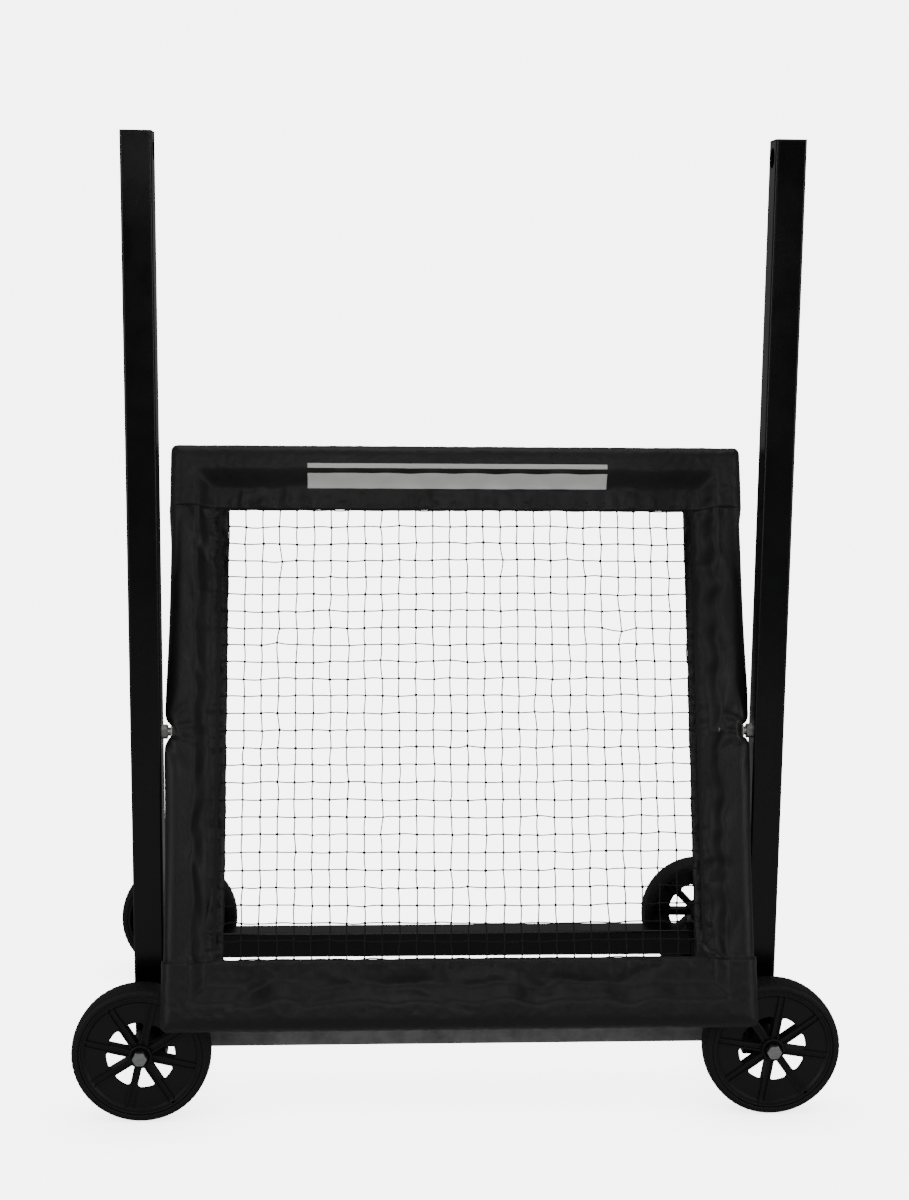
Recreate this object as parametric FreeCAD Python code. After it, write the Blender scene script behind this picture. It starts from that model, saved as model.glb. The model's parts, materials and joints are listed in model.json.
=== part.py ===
"""Wheeled ball rebounder: a padded net frame that tilts between two uprights on a four-wheel base.

Millimetres. +X is to the right, +Y to the back and +Z up. The origin is on the floor, at the
middle of the bounding box. The wheels turn about Y, so the base rolls sideways.
"""
import FreeCAD, Part
import math
import os

V = FreeCAD.Vector
X_AXIS = V(1, 0, 0)
Y_AXIS = V(0, 1, 0)
Z_AXIS = V(0, 0, 1)

# ---- driving dimensions -------------------------------------------------------------------
# Base: 1.75 inch square steel tube
TUBE = 44.45
WALL = 2.0
TUBE_RADIUS = 4.0
UPRIGHT_INNER_X = 434.9          # inner face of each upright
UPRIGHT_TOP = 1418.0             # top of the cap
UPRIGHT_BOTTOM = 65.0
TOP_HOLE_R = 14.3
TOP_HOLE_Z = 1393.0
FRONT_LEVEL = 85.0               # underside of the front cross tube and of the side rails
REAR_LEVEL = 57.7                # underside of the rear cross tube and of the rear posts
REAR_POST_TOP = 138.0
POST_SPAN = 452.0                # upright's front face to rear post's front face
CAP_PLATE = 2.5
CAP_PLUG = 6.0
WELD_LEG = 4.0

# Wheels: 8 inch, on half inch bolts
TRACK = 928.0
WHEEL_R = 101.6
WHEEL_WIDTH = 44.5
TYRE_INNER_R = 90.0
RIM_BARREL_R = 86.0
WEB_SETBACK = 6.1                # web's outer face, behind the rim's outer plane
WEB_THICKNESS = 4.0
WINDOW_INNER_R = 18.5
WINDOW_OUTER_R = 50.0
SPOKES = 8
SPOKE_WIDTH = 11.0
SPOKE_RIB = 2.2
HUB_R = 17.0
HUB_BUSH_R = 9.5
BOLT_R = 6.35
RUNNING_FIT = 0.06
BOLT_AF = 19.05                  # across the flats of the head and the nuts
HEAD_THICKNESS = 7.9
NUT_THICKNESS = 8.0
WASHER_THICKNESS = 2.2
WASHER_R = 14.0
BOSS_R = 8.0
SIDE_GAP = 0.3                   # between a turning face and a fixed one
WHEEL_TO_TUBE = 30.0             # rim's inner plane to the face of the tube that carries it
HUB_LENGTH = 64.0
SPOKE_PHASE = {"front_left": 32.0, "front_right": 36.0, "rear_left": 10.0, "rear_right": -1.0}

# Net frame: 1 inch square tube in foam and vinyl sleeves
FRAME_WIDTH = 860.0
FRAME_LENGTH = 861.0
FRAME_TILT = 19.05               # leans back from the vertical, in degrees
PIVOT_Z = 563.0
SLEEVE_DEPTH = 46.0
SLEEVE_SKIN = 1.2
SLEEVE_RADIUS = 8.0
SIDE_SLEEVE_WIDTH = 88.0
TOP_SLEEVE_WIDTH = 98.0
BOTTOM_SLEEVE_WIDTH = 101.0
FLAP_EDGE = 8.0                  # thickness of a sleeve at the net
FRAME_TUBE = 25.4
FRAME_WALL = 1.5
FRAME_TUBE_RADIUS = 2.0
NET_THICKNESS = 2.0
NET_HEM = 10.0                   # how far the net runs into its sleeves
HEM_CORD = 5.0

# Pivots
PIVOT_NUT_THICKNESS = 8.2
PIVOT_BUSH_R = 8.0
PIVOT_BOSS_R = 9.0
PIVOT_BOSS_LENGTH = 15.0
PIVOT_WASHER_THICKNESS = 2.0
PIVOT_WASHER_R = 12.0
PIVOT_POCKET_R = 13.5            # pocket in foam and sleeve round the nut and the head

# ---- derived places -----------------------------------------------------------------------
TILT = math.radians(FRAME_TILT)
SLEEVE_HALF = SLEEVE_DEPTH / 2
HALF_WIDTH = FRAME_WIDTH / 2
HALF_LENGTH = FRAME_LENGTH / 2
AXLE_X = TRACK / 2
AXLE_Z = WHEEL_R
UPRIGHT_X = UPRIGHT_INNER_X + TUBE / 2
TUBE_INSIDE = TUBE - 2 * WALL
HUB_END_GAP = SIDE_GAP + WASHER_THICKNESS + NUT_THICKNESS
CARRIER_TO_HEAD = HUB_END_GAP + HUB_LENGTH + SIDE_GAP + WASHER_THICKNESS + HEAD_THICKNESS

# The box runs from the net frame's lower front edge to the heads of the rear axle bolts.
FRAME_FRONT_REACH = (
    (HALF_LENGTH - SLEEVE_RADIUS) * math.sin(TILT)
    + (SLEEVE_HALF - SLEEVE_RADIUS) * math.cos(TILT)
    + SLEEVE_RADIUS
)
PIVOT_TO_REAR_END = POST_SPAN + TUBE / 2 + CARRIER_TO_HEAD
PIVOT_Y = (FRAME_FRONT_REACH - PIVOT_TO_REAR_END) / 2
UPRIGHT_FRONT = PIVOT_Y - TUBE / 2
UPRIGHT_BACK = PIVOT_Y + TUBE / 2
POST_FRONT = UPRIGHT_FRONT + POST_SPAN
POST_BACK = POST_FRONT + TUBE

# In the net frame's own upright position, with its pivot line as the X axis
FRAME_TUBE_X = HALF_WIDTH - SLEEVE_HALF
FRAME_TUBE_Z = HALF_LENGTH - SLEEVE_HALF
FOAM = SLEEVE_DEPTH - 2 * SLEEVE_SKIN
FOAM_RADIUS = SLEEVE_RADIUS - SLEEVE_SKIN
OPENING_HALF_WIDTH = HALF_WIDTH - SIDE_SLEEVE_WIDTH
OPENING_TOP = HALF_LENGTH - TOP_SLEEVE_WIDTH
OPENING_BOTTOM = -HALF_LENGTH + BOTTOM_SLEEVE_WIDTH


# ---- helpers ------------------------------------------------------------------------------
def export(shape, node):
    shape.exportStep("parts/" + node + ".step")


def group(solids):
    return Part.makeCompound(solids)


def box(low, high):
    return Part.makeBox(high[0] - low[0], high[1] - low[1], high[2] - low[2], V(*low))


def mirror_x(shape):
    return shape.mirror(V(0, 0, 0), X_AXIS)


def rounded_prism(centre, width, depth, radius, length, axis):
    """A rounded rectangle drawn in the plane across the axis, run along it from the centre.

    The width is along the first of the other two axes, and the depth along the second.
    """
    w, d, r = width / 2, depth / 2, radius
    s = r * (1 - math.sqrt(0.5))
    corners = [(w, d, 1, 1), (-w, d, -1, 1), (-w, -d, -1, -1), (w, -d, 1, -1)]
    edges = []
    last = None
    first = None
    for x, y, sx, sy in corners:
        on_side = V(x, y - sy * r, 0)
        on_end = V(x - sx * r, y, 0)
        start, stop = (on_side, on_end) if sx * sy > 0 else (on_end, on_side)
        middle = V(x - sx * s, y - sy * s, 0)
        if last is not None:
            edges.append(Part.makeLine(last, start))
        else:
            first = start
        edges.append(Part.Arc(start, middle, stop).toShape())
        last = stop
    edges.append(Part.makeLine(last, first))
    prism = Part.Face(Part.Wire(edges)).extrude(V(0, 0, length))
    if axis == "X":
        turn = FreeCAD.Rotation(Y_AXIS, Z_AXIS, X_AXIS, "XYZ")
    elif axis == "Y":
        turn = FreeCAD.Rotation(Z_AXIS, X_AXIS, Y_AXIS, "XYZ")
    else:
        turn = FreeCAD.Rotation()
    prism.Placement = FreeCAD.Placement(V(*centre), turn)
    return prism


def square_tube(centre, side, wall, radius, length, axis):
    outside = rounded_prism(centre, side, side, radius, length, axis)
    inside = rounded_prism(centre, side - 2 * wall, side - 2 * wall, radius / 2, length, axis)
    return outside.cut(inside)


def rod(start, radius, length, direction):
    return Part.makeCylinder(radius, length, V(*start), direction)


def ring(start, outer_r, inner_r, length, direction):
    return rod(start, outer_r, length, direction).cut(rod(start, inner_r, length, direction))


def hexagon(start, across_flats, thickness, direction, bore_r=0.0):
    """A hexagon prism with its edges chamfered by a cone, with or without a bore."""
    corner_r = across_flats / math.sqrt(3)
    points = [
        V(corner_r * math.cos(math.radians(60 * i)), corner_r * math.sin(math.radians(60 * i)), 0)
        for i in range(7)
    ]
    prism = Part.Face(Part.makePolygon(points)).extrude(V(0, 0, thickness))
    chamfer = (corner_r - across_flats / 2) * 0.6
    lower = Part.makeCone(corner_r + thickness - chamfer, corner_r - chamfer, thickness)
    prism = prism.common(lower)
    if bore_r:
        prism = prism.cut(Part.makeCylinder(bore_r, thickness))
    prism.Placement = FreeCAD.Placement(V(*start), FreeCAD.Rotation(Z_AXIS, direction))
    return prism


def bead(corner, leg_a, leg_b, run):
    """A weld fillet: a right triangle on two legs at a corner, run along the joint."""
    a, b = corner, corner + leg_a
    c = corner + leg_b
    return Part.Face(Part.makePolygon([a, b, c, a])).extrude(run)


def tilted(shape):
    """Leans a piece of the net frame back, and lifts it to its pivots."""
    placed = shape.copy()
    placed.rotate(V(0, 0, 0), X_AXIS, -FRAME_TILT)
    placed.translate(V(0, PIVOT_Y, PIVOT_Z))
    return placed


# ---- base: uprights, posts, rails and cross tubes ------------------------------------------
def make_upright():
    foot = UPRIGHT_BOTTOM + CAP_PLATE
    length = UPRIGHT_TOP - CAP_PLATE - foot
    upright = square_tube((UPRIGHT_X, PIVOT_Y, foot), TUBE, WALL, TUBE_RADIUS, length, "Z")
    top_hole = rod((UPRIGHT_INNER_X, PIVOT_Y, TOP_HOLE_Z), TOP_HOLE_R, TUBE, X_AXIS)
    pivot_hole = rod((UPRIGHT_INNER_X, PIVOT_Y, PIVOT_Z), PIVOT_BOSS_R, WALL, X_AXIS)
    axle_hole = rod((AXLE_X, UPRIGHT_FRONT, AXLE_Z), BOSS_R, TUBE, Y_AXIS)
    return upright.cut(top_hole).cut(pivot_hole).cut(axle_hole)


def make_rear_post():
    foot = REAR_LEVEL + CAP_PLATE
    length = REAR_POST_TOP - CAP_PLATE - foot
    centre_y = POST_FRONT + TUBE / 2
    post = square_tube((UPRIGHT_X, centre_y, foot), TUBE, WALL, TUBE_RADIUS, length, "Z")
    return post.cut(rod((AXLE_X, POST_FRONT, AXLE_Z), BOSS_R, TUBE, Y_AXIS))


def make_cap(centre_y, z, up):
    """A moulded cap: a plate that covers the tube's end, and a plug inside the tube."""
    plate_z = z if up else z - CAP_PLATE
    plug_z = z - CAP_PLUG if up else z
    plug_side = TUBE_INSIDE - 0.2
    plate = rounded_prism((UPRIGHT_X, centre_y, plate_z), TUBE, TUBE, TUBE_RADIUS, CAP_PLATE, "Z")
    plug = rounded_prism((UPRIGHT_X, centre_y, plug_z), plug_side, plug_side, TUBE_RADIUS / 2,
                         CAP_PLUG, "Z")
    return plate.fuse(plug).removeSplitter()


def make_cross_tube(front_y, level):
    length = 2 * UPRIGHT_INNER_X
    centre = (-UPRIGHT_INNER_X, front_y + TUBE / 2, level + TUBE / 2)
    return square_tube(centre, TUBE, WALL, TUBE_RADIUS, length, "X")


def make_side_rail():
    length = POST_FRONT - UPRIGHT_BACK
    centre = (UPRIGHT_X, UPRIGHT_BACK, FRONT_LEVEL + TUBE / 2)
    return square_tube(centre, TUBE, WALL, TUBE_RADIUS, length, "Y")


def make_weld_beads():
    """Fillets above and below the butt joints, on the right side, mirrored to the left."""
    inset = TUBE_RADIUS
    along_y = V(0, TUBE - 2 * inset, 0)
    along_x = V(TUBE - 2 * inset, 0, 0)
    in_x = V(-WELD_LEG, 0, 0)
    back, front = V(0, WELD_LEG, 0), V(0, -WELD_LEG, 0)
    up, down = V(0, 0, WELD_LEG), V(0, 0, -WELD_LEG)
    rail_top = FRONT_LEVEL + TUBE
    rail_x = UPRIGHT_INNER_X + inset
    front_beads = [
        bead(V(UPRIGHT_INNER_X, UPRIGHT_FRONT + inset, rail_top), in_x, up, along_y),
        bead(V(UPRIGHT_INNER_X, UPRIGHT_FRONT + inset, FRONT_LEVEL), in_x, down, along_y),
        bead(V(rail_x, UPRIGHT_BACK, rail_top), back, up, along_x),
        bead(V(rail_x, UPRIGHT_BACK, FRONT_LEVEL), back, down, along_x),
    ]
    rear_beads = [
        bead(V(UPRIGHT_INNER_X, POST_FRONT + inset, REAR_LEVEL + TUBE), in_x, up, along_y),
        bead(V(rail_x, POST_FRONT, rail_top), front, up, along_x),
        bead(V(rail_x, POST_FRONT, FRONT_LEVEL), front, down, along_x),
    ]
    for node, beads in (("front_weld_beads", front_beads), ("rear_weld_beads", rear_beads)):
        export(group(beads + [mirror_x(b) for b in beads]), node)


def make_base():
    upright = make_upright()
    post = make_rear_post()
    rail = make_side_rail()
    top_cap = make_cap(PIVOT_Y, UPRIGHT_TOP - CAP_PLATE, True)
    for side, place in (("right", lambda s: s), ("left", mirror_x)):
        export(place(upright), side + "_upright")
        export(place(post), side + "_rear_post")
        export(place(rail), side + "_side_rail")
        export(place(top_cap), side + "_upright_cap")
    post_y = POST_FRONT + TUBE / 2
    foot_caps = [
        make_cap(PIVOT_Y, UPRIGHT_BOTTOM + CAP_PLATE, False),
        make_cap(post_y, REAR_LEVEL + CAP_PLATE, False),
    ]
    post_cap = make_cap(post_y, REAR_POST_TOP - CAP_PLATE, True)
    export(group(foot_caps + [mirror_x(c) for c in foot_caps]), "foot_caps")
    export(group([post_cap, mirror_x(post_cap)]), "rear_post_caps")
    export(make_cross_tube(UPRIGHT_FRONT, FRONT_LEVEL), "front_cross_tube")
    export(make_cross_tube(POST_FRONT, REAR_LEVEL), "rear_cross_tube")
    make_weld_beads()


# ---- wheels --------------------------------------------------------------------------------
# Each wheel is drawn on the Y axis. Its inner plane is y = 0 and it runs to -WHEEL_WIDTH.
def make_tyre():
    shoulder = 7.0
    crown = 1.5
    arc = shoulder * (1 - math.sqrt(0.5))
    edge_r = WHEEL_R - crown
    outer, inner = -WHEEL_WIDTH, 0.0
    edges = [
        Part.makeLine(V(TYRE_INNER_R, inner, 0), V(edge_r - shoulder, inner, 0)),
        Part.Arc(V(edge_r - shoulder, inner, 0), V(edge_r - arc, inner - arc, 0),
                 V(edge_r, inner - shoulder, 0)).toShape(),
        Part.Arc(V(edge_r, inner - shoulder, 0), V(WHEEL_R, outer / 2, 0),
                 V(edge_r, outer + shoulder, 0)).toShape(),
        Part.Arc(V(edge_r, outer + shoulder, 0), V(edge_r - arc, outer + arc, 0),
                 V(edge_r - shoulder, outer, 0)).toShape(),
        Part.makeLine(V(edge_r - shoulder, outer, 0), V(TYRE_INNER_R, outer, 0)),
        Part.makeLine(V(TYRE_INNER_R, outer, 0), V(TYRE_INNER_R, inner, 0)),
    ]
    return Part.Face(Part.Wire(edges)).revolve(V(0, 0, 0), Y_AXIS, 360)


def make_spoke_bars(width, length, low_y, high_y):
    return [
        box((0, low_y, -width / 2), (length, high_y, width / 2)).rotated(
            V(0, 0, 0), Y_AXIS, -360 * i / SPOKES)
        for i in range(SPOKES)
    ]


def make_rim():
    """A barrel and a hub joined by a web, with windows between eight ribbed spokes."""
    outer = -WHEEL_WIDTH
    barrel_inset = 1.5
    barrel = ring((0, outer + barrel_inset, 0), TYRE_INNER_R, RIM_BARREL_R,
                  WHEEL_WIDTH - 2 * barrel_inset, Y_AXIS)
    web_outer = outer + WEB_SETBACK
    web_inner = web_outer + WEB_THICKNESS
    web = ring((0, web_outer, 0), RIM_BARREL_R, HUB_R, WEB_THICKNESS, Y_AXIS)
    windows = ring((0, web_outer, 0), WINDOW_OUTER_R, WINDOW_INNER_R, WEB_THICKNESS, Y_AXIS)
    for bar in make_spoke_bars(SPOKE_WIDTH, WHEEL_R, web_outer, web_inner):
        windows = windows.cut(bar)
    rim = barrel.fuse(web.cut(windows))
    hub_outer = WHEEL_TO_TUBE - HUB_END_GAP - HUB_LENGTH
    hub = rod((0, hub_outer, 0), HUB_R, HUB_LENGTH, Y_AXIS)
    rim = rim.fuse(hub)
    rib_offset = (SPOKE_WIDTH - SPOKE_RIB) / 2
    rib_rise = 2.5
    rib_depth = 12.0
    for i in range(SPOKES):
        for side in (-1, 1):
            rib = box((HUB_R - 2, web_outer - rib_rise, side * rib_offset - SPOKE_RIB / 2),
                      (RIM_BARREL_R + 1, web_inner + rib_depth, side * rib_offset + SPOKE_RIB / 2))
            rim = rim.fuse(rib.rotated(V(0, 0, 0), Y_AXIS, -360 * i / SPOKES))
    bore = rod((0, hub_outer, 0), HUB_BUSH_R, HUB_LENGTH, Y_AXIS)
    return rim.cut(bore).removeSplitter()


def make_hub_bush():
    hub_outer = WHEEL_TO_TUBE - HUB_END_GAP - HUB_LENGTH
    return ring((0, hub_outer, 0), HUB_BUSH_R, BOLT_R + RUNNING_FIT, HUB_LENGTH, Y_AXIS)


def make_axle_bolt():
    """A hexagon head bolt; its shank ends inside the side rail."""
    head_end = WHEEL_TO_TUBE - CARRIER_TO_HEAD
    under_head = head_end + HEAD_THICKNESS
    past_tube = 6.0
    shank = rod((0, under_head, 0), BOLT_R, WHEEL_TO_TUBE + TUBE + past_tube - under_head, Y_AXIS)
    head = hexagon((0, under_head, 0), BOLT_AF, HEAD_THICKNESS, V(0, -1, 0))
    return head.fuse(shank).removeSplitter()


def make_axle_washers():
    thread_r = BOLT_R + 0.1
    by_head = WHEEL_TO_TUBE - CARRIER_TO_HEAD + HEAD_THICKNESS
    by_nut = WHEEL_TO_TUBE - NUT_THICKNESS - WASHER_THICKNESS
    return [ring((0, y, 0), WASHER_R, thread_r, WASHER_THICKNESS, Y_AXIS) for y in (by_head, by_nut)]


def make_wheels():
    tyre = make_tyre()
    rim = make_rim()
    bush = make_hub_bush()
    bolt = make_axle_bolt()
    washers = make_axle_washers()
    nut = hexagon((0, WHEEL_TO_TUBE, 0), BOLT_AF, NUT_THICKNESS, V(0, -1, 0), BOLT_R + 0.05)
    boss = ring((0, WHEEL_TO_TUBE, 0), BOSS_R, BOLT_R + 0.05, TUBE, Y_AXIS)
    all_nuts, all_washers, all_bosses = [], [], []
    for corner, phase in SPOKE_PHASE.items():
        row, side = corner.split("_")
        x = AXLE_X if side == "right" else -AXLE_X

        def place(shape):
            placed = shape.copy()
            if row == "front":
                placed.translate(V(x, UPRIGHT_FRONT - WHEEL_TO_TUBE, AXLE_Z))
            else:
                placed.rotate(V(0, 0, 0), Z_AXIS, 180)
                placed.translate(V(x, POST_BACK + WHEEL_TO_TUBE, AXLE_Z))
            return placed

        spin = -phase if row == "front" else phase - 180
        export(place(tyre), corner + "_tyre")
        export(place(rim.rotated(V(0, 0, 0), Y_AXIS, spin)), corner + "_rim")
        export(place(bush), corner + "_hub_bush")
        export(place(bolt), corner + "_axle_bolt")
        all_nuts.append(place(nut))
        all_washers += [place(w) for w in washers]
        all_bosses.append(place(boss))
    export(group(all_nuts), "axle_lock_nuts")
    export(group(all_washers), "axle_washers")
    export(group(all_bosses), "axle_bosses")


# ---- net frame: tubes, foam, sleeves and net -----------------------------------------------
def make_pivot_pocket():
    """The room that the fixed bolt, its nut and its head need in one side of the frame."""
    tube_outer = FRAME_TUBE_X + FRAME_TUBE / 2
    tube_inner = FRAME_TUBE_X - FRAME_TUBE / 2
    head_room = HEAD_THICKNESS + PIVOT_WASHER_THICKNESS + 2
    outside = rod((tube_outer, 0, 0), PIVOT_POCKET_R, SLEEVE_HALF, X_AXIS)
    inside = rod((tube_inner - head_room, 0, 0), PIVOT_POCKET_R, head_room, X_AXIS)
    return outside.fuse(inside)


def make_frame_tubes():
    side_length = 2 * FRAME_TUBE_Z + FRAME_TUBE
    cross_length = 2 * FRAME_TUBE_X - FRAME_TUBE
    side = square_tube((FRAME_TUBE_X, 0, -side_length / 2), FRAME_TUBE, FRAME_WALL,
                       FRAME_TUBE_RADIUS, side_length, "Z")
    side = side.cut(rod((FRAME_TUBE_X - FRAME_TUBE, 0, 0), PIVOT_BUSH_R, 2 * FRAME_TUBE, X_AXIS))
    cross = {
        name: square_tube((-cross_length / 2, 0, z), FRAME_TUBE, FRAME_WALL, FRAME_TUBE_RADIUS,
                          cross_length, "X")
        for name, z in (("top", FRAME_TUBE_Z), ("bottom", -FRAME_TUBE_Z))
    }
    return {"right": side, "left": mirror_x(side), "top": cross["top"], "bottom": cross["bottom"]}


def make_foam_blocks():
    """The outer shape of each foam pad, with no hole for its tube."""
    side_length = 2 * FRAME_TUBE_Z - FOAM
    cross_length = 2 * FRAME_TUBE_X + FOAM
    side = rounded_prism((FRAME_TUBE_X, 0, -side_length / 2), FOAM, FOAM, FOAM_RADIUS,
                         side_length, "Z")
    blocks = {"right": side, "left": mirror_x(side)}
    for name, z in (("top", FRAME_TUBE_Z), ("bottom", -FRAME_TUBE_Z)):
        blocks[name] = rounded_prism((-cross_length / 2, 0, z), FOAM, FOAM, FOAM_RADIUS,
                                     cross_length, "X")
    return blocks


def sleeve_profile(reach):
    """A sleeve's section: round over its tube, then tapering to a thin edge at the net.

    Drawn with its outer edge at 0 and its inner edge at -reach, along the first axis.
    """
    h, e, r = SLEEVE_HALF, FLAP_EDGE / 2, SLEEVE_RADIUS
    s = r * (1 - math.sqrt(0.5))
    points = [V(-r, h, 0), V(-SLEEVE_DEPTH, h, 0), V(-reach, e, 0), V(-reach, -e, 0),
              V(-SLEEVE_DEPTH, -h, 0), V(-r, -h, 0)]
    edges = [Part.makeLine(a, b) for a, b in zip(points, points[1:])]
    edges.append(Part.Arc(V(-r, -h, 0), V(-s, -h + s, 0), V(0, -h + r, 0)).toShape())
    edges.append(Part.makeLine(V(0, -h + r, 0), V(0, h - r, 0)))
    edges.append(Part.Arc(V(0, h - r, 0), V(-s, h - s, 0), V(-r, h, 0)).toShape())
    return Part.Face(Part.Wire(edges))


def make_sleeve_shapes():
    """The outer shape of each sleeve: the top and bottom ones run across the corners."""
    side_length = OPENING_TOP - OPENING_BOTTOM
    side = sleeve_profile(SIDE_SLEEVE_WIDTH).extrude(V(0, 0, side_length))
    side.translate(V(HALF_WIDTH, 0, OPENING_BOTTOM))
    shapes = {"right": side, "left": mirror_x(side)}
    for name, reach, sign in (("top", TOP_SLEEVE_WIDTH, 1), ("bottom", BOTTOM_SLEEVE_WIDTH, -1)):
        run = sleeve_profile(reach).extrude(V(0, 0, FRAME_WIDTH))
        # first axis of the profile to +Z, second to +Y, and the run to -X
        run.Placement = FreeCAD.Placement(
            V(HALF_WIDTH, 0, HALF_LENGTH), FreeCAD.Rotation(Z_AXIS, Y_AXIS, V(-1, 0, 0), "XYZ"))
        corner = rounded_prism((FRAME_TUBE_X, 0, HALF_LENGTH - reach), SLEEVE_DEPTH, SLEEVE_DEPTH,
                               SLEEVE_RADIUS, reach - SLEEVE_HALF, "Z")
        sleeve = run.fuse(corner).fuse(mirror_x(corner)).removeSplitter()
        shapes[name] = sleeve if sign > 0 else sleeve.mirror(V(0, 0, 0), Z_AXIS)
    return shapes


def make_net():
    half_width = OPENING_HALF_WIDTH + NET_HEM
    return box((-half_width, -NET_THICKNESS / 2, OPENING_BOTTOM - NET_HEM),
               (half_width, NET_THICKNESS / 2, OPENING_TOP + NET_HEM))


def make_hem_cord():
    """The cord in the net's hem, inside the thin edges of the sleeves."""
    half_width = OPENING_HALF_WIDTH + NET_HEM
    low, high = OPENING_BOTTOM - NET_HEM, OPENING_TOP + NET_HEM
    c, h = HEM_CORD, HEM_CORD / 2
    outside = box((-half_width - c, -h, low - c), (half_width + c, h, high + c))
    return outside.cut(box((-half_width, -h, low), (half_width, h, high)))


def make_net_frame():
    tubes = make_frame_tubes()
    foam = make_foam_blocks()
    sleeves = make_sleeve_shapes()
    net = make_net()
    cord = make_hem_cord()
    pocket = make_pivot_pocket()
    pockets = pocket.fuse(mirror_x(pocket))
    tube_cores = [
        box((x - FRAME_TUBE / 2, -FRAME_TUBE / 2, -FRAME_TUBE_Z - FRAME_TUBE / 2),
            (x + FRAME_TUBE / 2, FRAME_TUBE / 2, FRAME_TUBE_Z + FRAME_TUBE / 2))
        for x in (-FRAME_TUBE_X, FRAME_TUBE_X)
    ] + [
        box((-FRAME_TUBE_X, -FRAME_TUBE / 2, z - FRAME_TUBE / 2),
            (FRAME_TUBE_X, FRAME_TUBE / 2, z + FRAME_TUBE / 2))
        for z in (-FRAME_TUBE_Z, FRAME_TUBE_Z)
    ]
    for side in ("top", "bottom", "left", "right"):
        export(tilted(tubes[side]), "frame_" + side + "_tube")
        export(tilted(foam[side].cut(tube_cores).cut(pockets)), "foam_" + side)
        skin = sleeves[side].cut(list(foam.values()) + [net, cord, pockets])
        export(tilted(skin), "sleeve_" + side)
    export(tilted(net), "net")
    export(tilted(cord), "net_hem_cord")


# ---- pivots: bolts fixed in the uprights, on which the net frame turns ---------------------
def make_pivots():
    """Drawn on the right, about the X axis: nut on the upright, bush in the frame's tube."""
    tube_outer = FRAME_TUBE_X + FRAME_TUBE / 2
    tube_inner = FRAME_TUBE_X - FRAME_TUBE / 2
    thread_r = BOLT_R + 0.05
    nut = hexagon((UPRIGHT_INNER_X, 0, 0), BOLT_AF, PIVOT_NUT_THICKNESS, V(-1, 0, 0), thread_r)
    boss = ring((UPRIGHT_INNER_X, 0, 0), PIVOT_BOSS_R, thread_r, PIVOT_BOSS_LENGTH, X_AXIS)
    bush = ring((tube_inner, 0, 0), PIVOT_BUSH_R, BOLT_R + RUNNING_FIT, FRAME_TUBE, X_AXIS)
    washers = [
        ring((x, 0, 0), PIVOT_WASHER_R, BOLT_R + RUNNING_FIT, PIVOT_WASHER_THICKNESS, X_AXIS)
        for x in (tube_inner - PIVOT_WASHER_THICKNESS, tube_outer)
    ]
    under_head = tube_inner - PIVOT_WASHER_THICKNESS - SIDE_GAP
    bolt_end = UPRIGHT_INNER_X + PIVOT_BOSS_LENGTH - 2
    shank = rod((under_head, 0, 0), BOLT_R, bolt_end - under_head, X_AXIS)
    head = hexagon((under_head, 0, 0), BOLT_AF, HEAD_THICKNESS, V(-1, 0, 0))
    bolt = head.fuse(shank).removeSplitter()

    def place(shape):
        placed = shape.copy()
        placed.translate(V(0, PIVOT_Y, PIVOT_Z))
        return placed

    for side, turn in (("right", lambda s: s), ("left", mirror_x)):
        export(place(turn(bolt)), side + "_pivot_bolt")
        export(place(turn(bush)), side + "_pivot_bush")
    export(group([place(nut), place(mirror_x(nut))]), "pivot_jam_nuts")
    export(group([place(boss), place(mirror_x(boss))]), "pivot_bosses")
    export(group([place(w) for w in washers + [mirror_x(w) for w in washers]]), "pivot_washers")


def main():
    os.makedirs("parts", exist_ok=True)
    make_base()
    make_wheels()
    make_net_frame()
    make_pivots()


main()
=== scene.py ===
# %% [markdown]
# # A wheeled ball rebounder
#
# A square net in a padded frame leans between two tall tubes on a low wheeled base. The steel,
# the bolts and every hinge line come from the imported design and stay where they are. This
# lesson makes what a design model lacks: stuffed and stitched vinyl sleeves, a knotted net,
# moulded wheels, and a finish for every surface.

# %% Load the frame
import json
import math
import random

import bmesh
import bpy
import numpy as np
from mathutils import Matrix, Vector
from mathutils.bvhtree import BVHTree


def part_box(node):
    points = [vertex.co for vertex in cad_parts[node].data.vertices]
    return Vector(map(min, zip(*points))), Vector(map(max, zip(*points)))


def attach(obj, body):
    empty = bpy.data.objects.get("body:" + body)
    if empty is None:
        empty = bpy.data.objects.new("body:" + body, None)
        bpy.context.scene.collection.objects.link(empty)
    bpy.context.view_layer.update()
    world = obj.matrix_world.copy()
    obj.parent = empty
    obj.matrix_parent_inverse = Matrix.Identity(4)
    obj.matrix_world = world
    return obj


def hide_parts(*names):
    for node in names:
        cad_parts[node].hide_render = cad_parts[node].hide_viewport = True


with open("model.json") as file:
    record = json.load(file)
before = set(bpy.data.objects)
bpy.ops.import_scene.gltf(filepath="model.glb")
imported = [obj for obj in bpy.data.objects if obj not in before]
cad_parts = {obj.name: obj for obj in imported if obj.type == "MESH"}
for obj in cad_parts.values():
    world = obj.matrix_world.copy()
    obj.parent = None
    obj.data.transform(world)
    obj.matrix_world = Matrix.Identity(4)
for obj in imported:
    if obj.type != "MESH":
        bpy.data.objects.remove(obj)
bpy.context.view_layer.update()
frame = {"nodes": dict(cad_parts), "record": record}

# %% [markdown]
# ## Where things are
#
# Sizes are in metres. The pivot line and the lean of the net frame come from the design's hinge
# and from the size of its pieces, so the sleeves land on the hidden tubes without fitting.

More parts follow.
